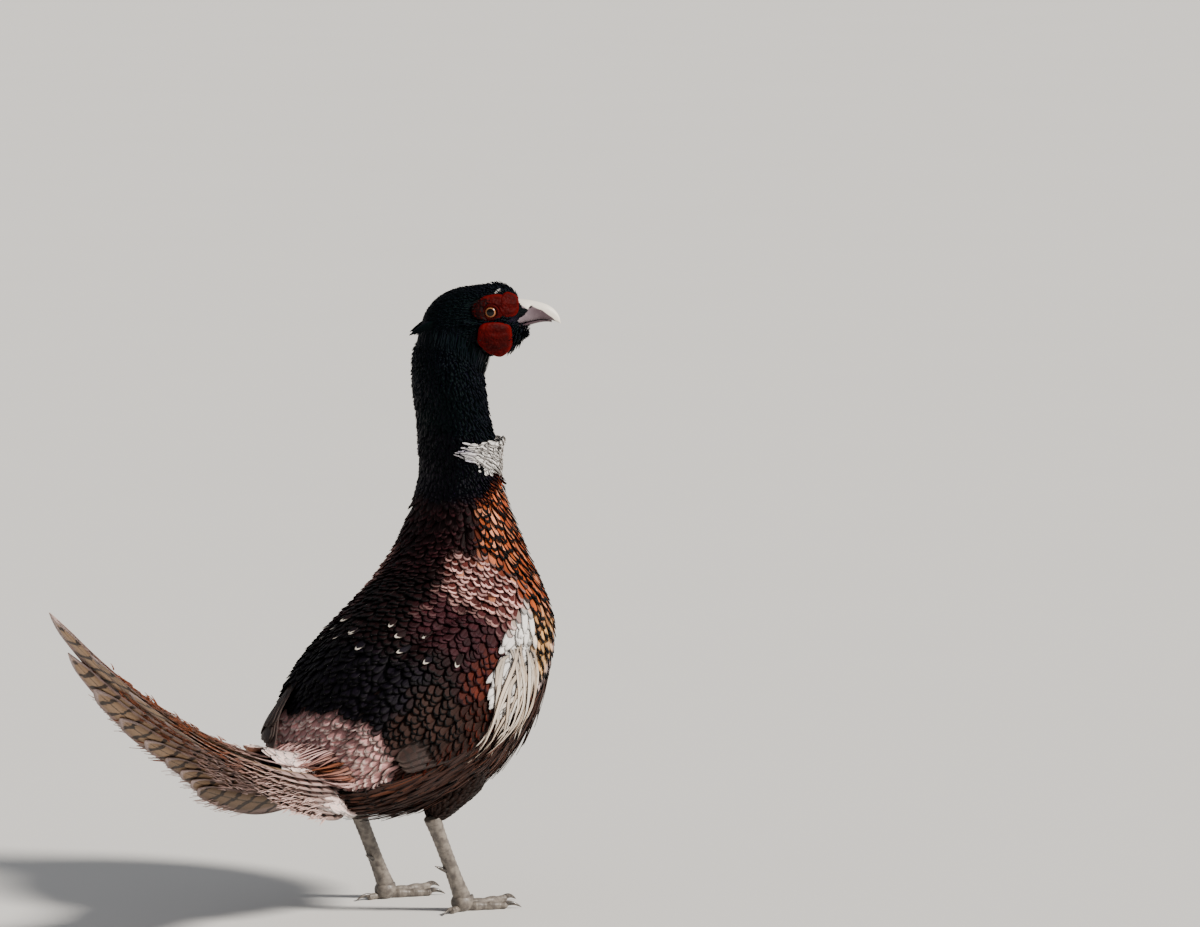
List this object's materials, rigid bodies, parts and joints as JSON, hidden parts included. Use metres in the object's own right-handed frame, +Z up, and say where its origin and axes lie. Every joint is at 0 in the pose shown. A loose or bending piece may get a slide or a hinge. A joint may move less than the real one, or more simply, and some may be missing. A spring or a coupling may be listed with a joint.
{
  "type": "common pheasant",
  "caption": "Life-size still model of an adult male common pheasant standing alert, head turned to its right and long tail raised behind.",
  "frame": {"origin": "middle of the bounding box's footprint, at the level of the soles", "axes": "+X towards the breast, +Y towards the bird's left side, +Z up"},
  "size_m": [0.571, 0.1982, 0.4365],
  "materials": {
    "head_feathers": "silky green-black with a purple and blue gloss",
    "neck_feathers": "silky green-black with a blue gloss and a white collar patch",
    "body_feathers": "scaled copper, chestnut and lavender grey feathers with dark edges",
    "wing_feathers": "matte brown and grey feathers with pale edges",
    "tail_feathers": "tan with dark bars and a pinkish loose fringe",
    "thigh_feathers": "soft dark brown down",
    "wattle_skin": "bare red skin with fine bumps",
    "bill_horn": "smooth ivory horn, greyer at the sides",
    "eye": "clear gloss over an amber iris and a black pupil",
    "leg_skin": "grey-brown horny scutes",
    "claw_horn": "dark smooth horn"
  },
  "bodies": {
    "root": {"head": "head_feathers", "neck": "neck_feathers", "torso": "body_feathers", "bill_upper": "bill_horn", "bill_lower": "bill_horn", "tail": "tail_feathers", "eye_left": "eye", "wattle_left": "wattle_skin", "ear_tuft_left": "head_feathers", "wing_left": "wing_feathers", "thigh_left": "thigh_feathers", "shank_left": "leg_skin", "spur_left": "claw_horn", "foot_left": "leg_skin", "claw_left_middle": "claw_horn", "claw_left_inner": "claw_horn", "claw_left_outer": "claw_horn", "claw_left_back": "claw_horn", "eye_right": "eye", "wattle_right": "wattle_skin", "ear_tuft_right": "head_feathers", "wing_right": "wing_feathers", "thigh_right": "thigh_feathers", "shank_right": "leg_skin", "spur_right": "claw_horn", "foot_right": "leg_skin", "claw_right_middle": "claw_horn", "claw_right_inner": "claw_horn", "claw_right_outer": "claw_horn", "claw_right_back": "claw_horn"}
  },
  "joints": []
}
